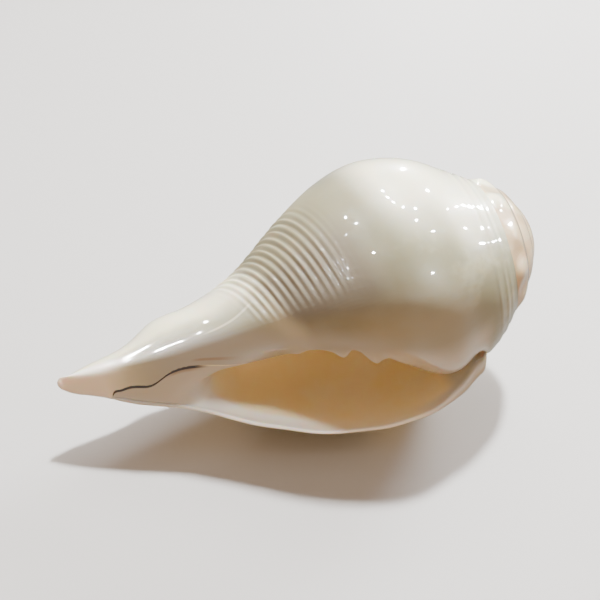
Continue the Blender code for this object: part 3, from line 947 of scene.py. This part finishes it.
def inside_colour(colours, place_of, inward, from_lip, row, drift):
    """Orange in the deep, apricot further out, pale at the lip and grey-pink in the canal."""
    return paint(colours, colours.apricot, INSIDE_ZONES, {
        "inward": inward + drift * INWARD_DRIFT,
        "from_lip": from_lip + drift * LIP_DRIFT,
        "row": row,
        "streaks": noise(place_of, STREAK_SCALE, 2),
    })


def table_material(settings):
    """A plain matt table top."""
    material = bpy.data.materials.new("table_top")
    material.use_nodes = True
    shader = material.node_tree.nodes["Principled BSDF"]
    shader.inputs["Base Color"].default_value = (*settings.floor, 1)
    shader.inputs["Roughness"].default_value = TABLE_ROUGHNESS
    shader.inputs["Specular IOR Level"].default_value = TABLE_GLOSS
    return material


def surround_world(settings):
    """A pale room to look at and to mirror, which lights things only dimly and warmly."""
    world = bpy.data.worlds.new("surround")
    world.use_nodes = True
    tree = world.node_tree
    background = tree.nodes["Background"]
    direction = node(tree, "ShaderNodeTexCoord")
    height = node(tree, "ShaderNodeSeparateXYZ", None, {0: direction}, "Z")
    bright = fade(noise(direction, ROOM_CLOUD_SCALE, 1), *ROOM_CLOUDS)
    bright = bright * fade(height, *ROOM_HORIZON)
    room = blend(bright, [c * settings.room * ROOM_SHADE for c in settings.room_colour],
                 [c * settings.room for c in settings.room_colour])
    seen = (node(tree, "ShaderNodeLightPath", output="Is Camera Ray")
            + node(tree, "ShaderNodeLightPath", output="Is Glossy Ray"))
    colour = blend(seen, [c * settings.sky for c in settings.sky_colour], room)
    tree.links.new(colour.socket, background.inputs["Color"])
    return world


def lay_table(settings):
    """The table top, which neither shows in the polish nor throws light on the shell."""
    deselect()
    bpy.ops.mesh.primitive_grid_add(x_subdivisions=8, y_subdivisions=8, size=TABLE_SIZE)
    table = bpy.context.object
    table.name = "table_top"
    table.data.materials.append(table_material(settings))
    table.visible_diffuse = False
    table.visible_glossy = False


def face(made, direction):
    """Turns a lamp or a camera so that it looks along the direction."""
    made.rotation_mode = "QUATERNION"
    made.rotation_quaternion = Vector(direction).to_track_quat("-Z", "Y")


def lamp(name, aim, offset, width, power):
    """A square soft lamp that hangs at the offset from its aim and faces it."""
    bpy.ops.object.light_add(type="AREA", location=Vector(aim) + offset)
    made = bpy.context.object
    made.name = name
    face(made, -offset)
    made.data.size = width
    made.data.energy = power
    return made


def hang_lamps(settings):
    """The soft lamps, and the small ones that only the polish shows."""
    for name, (aim, offset, width) in LAMPS.items():
        made = lamp(f"{name}_lamp", aim, Vector(offset), width, getattr(settings, f"{name}_power"))
        made.visible_glossy = name in MIRRORED_LAMPS
        if name in WARM_LAMPS:
            made.data.color = settings.sky_colour
    for number, (heading, rise) in enumerate(GLINTS):
        flat = cos(radians(rise))
        away = Vector((cos(radians(heading)) * flat, sin(radians(heading)) * flat,
                       sin(radians(rise))))
        glint = lamp(f"glint_{number}", SHELL_MIDDLE, away * GLINT_DISTANCE, GLINT_SIZE,
                     settings.glint_power)
        glint.visible_diffuse = False


def add_rim_lamp(power):
    """A narrow lamp that lights the lip's inside, and nothing but the shell."""
    bpy.ops.object.light_add(type="SPOT", location=RIM_LAMP_PLACE)
    made = bpy.context.object
    made.name = "rim_lamp"
    face(made, RIM_LAMP_DIRECTION)
    made.data.energy = power
    made.data.spot_size = radians(RIM_LAMP_CONE)
    made.data.spot_blend = RIM_LAMP_BLEND
    made.data.shadow_soft_size = RIM_LAMP_SIZE
    made.visible_glossy = False
    lit = bpy.data.collections.new("lit_by_rim_lamp")
    lit.objects.link(bpy.data.objects["chank_shell"])
    made.light_linking.receiver_collection = lit


def add_camera():
    """The camera, which looks down on the shell from the mouth's side."""
    bpy.ops.object.camera_add(location=CAMERA_PLACE)
    camera = bpy.context.object
    camera.name = "camera"
    face(camera, CAMERA_DIRECTION)
    camera.data.sensor_width = CAMERA_SENSOR
    camera.data.lens = CAMERA_LENS
    camera.data.clip_start = CAMERA_NEAR
    return camera


class ShellSizes(bpy.types.PropertyGroup):
    """Heights of what stands out on the wall."""

    cord_height: bpy.props.FloatProperty(
        name="Cord height", description="Height of the spiral cords on the neck",
        default=0.0003, unit="LENGTH")
    callus_height: bpy.props.FloatProperty(
        name="Callus height", description="Height of the glaze beside the mouth",
        default=0.00035, unit="LENGTH")
    knob_height: bpy.props.FloatProperty(
        name="Knob height", description="Height of the low knobs on the spire",
        default=0.0007, unit="LENGTH")
    lip_rounding: bpy.props.FloatProperty(
        name="Lip rounding", description="How far the rim stands forward, as a share of the lip",
        default=0.45, subtype="FACTOR", min=0, max=1)


class ShellColours(bpy.types.PropertyGroup):
    """Colours of the polished shell."""

    white: bpy.props.FloatVectorProperty(
        name="White", description="The polished top of the body", subtype="COLOR",
        default=(0.9, 0.87, 0.66))
    pearl: bpy.props.FloatVectorProperty(
        name="Pearl", description="Cooler clouds in the white", subtype="COLOR",
        default=(0.74, 0.74, 0.56))
    # Painted shade on the front of the body and on the neck beside the canal
    pewter: bpy.props.FloatVectorProperty(
        name="Pewter", description="The front of the body, where the polish is thin",
        subtype="COLOR", default=(0.29, 0.29, 0.18))
    # Cream of the shoulder and the ridged part, darkened as painted shade
    cream: bpy.props.FloatVectorProperty(
        name="Cream", description="The shoulder and the ridged part", subtype="COLOR",
        default=(0.17, 0.155, 0.075))
    ivory: bpy.props.FloatVectorProperty(
        name="Ivory", description="The neck, the tip and the spire's knobs", subtype="COLOR",
        default=(0.92, 0.9, 0.64))
    # Painted shade under the body, above the mouth, in a tan tint
    tan: bpy.props.FloatVectorProperty(
        name="Tan", description="Under the body, above the mouth", subtype="COLOR",
        default=(0.35, 0.33, 0.24))
    lilac: bpy.props.FloatVectorProperty(
        name="Lilac", description="The glaze beside the mouth", subtype="COLOR",
        default=(0.44, 0.45, 0.45))
    blush: bpy.props.FloatVectorProperty(
        name="Blush", description="Along the mouth's upper edge", subtype="COLOR",
        default=(0.66, 0.64, 0.6))
    # Brown stain in grooves and sutures, and painted shade at the ends of the cords
    stain: bpy.props.FloatVectorProperty(
        name="Stain", description="Brown in grooves and sutures", subtype="COLOR",
        default=(0.15, 0.12, 0.07))
    # Brown of the smear above the chink, and of the painted shade in a small pit at its end
    brown: bpy.props.FloatVectorProperty(
        name="Brown", description="The stain at the chink's end", subtype="COLOR",
        default=(0.3, 0.2, 0.12))
    peach: bpy.props.FloatVectorProperty(
        name="Peach", description="Between the spire's knobs", subtype="COLOR",
        default=(0.56, 0.4, 0.22))
    apricot: bpy.props.FloatVectorProperty(
        name="Apricot", description="The mouth near its edges", subtype="COLOR",
        default=(0.94, 0.86, 0.68))
    orange: bpy.props.FloatVectorProperty(
        name="Orange", description="The mouth where it is deep", subtype="COLOR",
        default=(0.92, 0.78, 0.45))
    lip: bpy.props.FloatVectorProperty(
        name="Lip", description="The pale inside of the lip", subtype="COLOR",
        default=(0.93, 0.9, 0.84))
    canal: bpy.props.FloatVectorProperty(
        name="Canal", description="The floor of the canal", subtype="COLOR",
        default=(0.55, 0.56, 0.54))
    # Painted shade in the narrow chink beside the canal
    chink: bpy.props.FloatVectorProperty(
        name="Chink", description="The dark line beside the canal", subtype="COLOR",
        default=(0.025, 0.012, 0.008))


class StudioSettings(bpy.types.PropertyGroup):
    """The table and the lamps."""

    floor: bpy.props.FloatVectorProperty(
        name="Floor", description="The plain table top", subtype="COLOR",
        default=(0.46, 0.46, 0.455))
    key_power: bpy.props.FloatProperty(
        name="Key", description="The lamp behind and above", default=51.0, unit="POWER")
    second_power: bpy.props.FloatProperty(
        name="Second", description="The weaker lamp", default=2.5, unit="POWER")
    sky: bpy.props.FloatProperty(
        name="Surround", description="Strength of the warm surround", default=0.53)
    sky_colour: bpy.props.FloatVectorProperty(
        name="Surround colour", description="Colour of the warm surround", subtype="COLOR",
        default=(1, 0.62, 0.35))
    room: bpy.props.FloatProperty(
        name="Room", description="Strength of the pale room that the polish mirrors", default=2.5)
    room_colour: bpy.props.FloatVectorProperty(
        name="Room colour", description="Colour of the room that the polish mirrors",
        subtype="COLOR", default=(1, 0.96, 0.87))
    rim_power: bpy.props.FloatProperty(
        name="Rim", description="The narrow lamp on the lip's inside", default=7.5, unit="POWER")
    side_power: bpy.props.FloatProperty(
        name="Side", description="The soft lamp behind the spire", default=8.0, unit="POWER")
    front_power: bpy.props.FloatProperty(
        name="Front", description="The low lamp that faces the mouth", default=1.1, unit="POWER")
    glint_power: bpy.props.FloatProperty(
        name="Glints", description="Each of the small lamps that the polish mirrors",
        default=12.0, unit="POWER")
    panel_power: bpy.props.FloatProperty(
        name="Panel", description="The wide panel overhead", default=2.0, unit="POWER")


class SHELL_OT_grow(bpy.types.Operator):
    """Grow the shell and give it its polish"""

    bl_idname = "shell.grow"
    bl_label = "Grow shell"

    def execute(self, context):
        scene = context.scene
        shell = grow_shell(scene.shell_sizes)
        close_shell(shell)
        shell.name = shell.data.name = "chank_shell"
        shell.data.materials.clear()
        shell.data.materials.append(shell_material(scene.shell_colours))
        deselect()
        shell.select_set(True)
        context.view_layer.objects.active = shell
        bpy.ops.object.shade_smooth()
        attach(shell, "root")
        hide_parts("conch_shell")
        return {"FINISHED"}


class SHELL_OT_studio(bpy.types.Operator):
    """Lay the table, hang the lamps and set up the camera"""

    bl_idname = "shell.studio"
    bl_label = "Set up studio"

    def execute(self, context):
        scene = context.scene
        settings = scene.shell_studio
        lay_table(settings)
        scene.world = surround_world(settings)
        hang_lamps(settings)
        add_rim_lamp(settings.rim_power)
        scene.camera = add_camera()
        return {"FINISHED"}


class VIEW3D_PT_shell(bpy.types.Panel):
    """Lists the shell's settings"""

    bl_label = "Chank Shell"
    bl_space_type = "VIEW_3D"
    bl_region_type = "UI"
    bl_category = "Shell"

    def draw(self, context):
        for group in SETTINGS:
            settings = getattr(context.scene, group)
            for key in settings.__annotations__:
                self.layout.prop(settings, key)
        self.layout.operator("shell.grow")
        self.layout.operator("shell.studio")


SETTINGS = {
    "shell_sizes": ShellSizes,
    "shell_colours": ShellColours,
    "shell_studio": StudioSettings,
}
CLASSES = (*SETTINGS.values(), SHELL_OT_grow, SHELL_OT_studio, VIEW3D_PT_shell)


def register():
    for kind in CLASSES:
        bpy.utils.register_class(kind)
    for name, kind in SETTINGS.items():
        setattr(bpy.types.Scene, name, bpy.props.PointerProperty(type=kind))


def unregister():
    for name in SETTINGS:
        delattr(bpy.types.Scene, name)
    for kind in reversed(CLASSES):
        bpy.utils.unregister_class(kind)


def main():
    register()
    bpy.ops.shell.grow()
    bpy.ops.shell.studio()


if __name__ == "__main__":
    main()
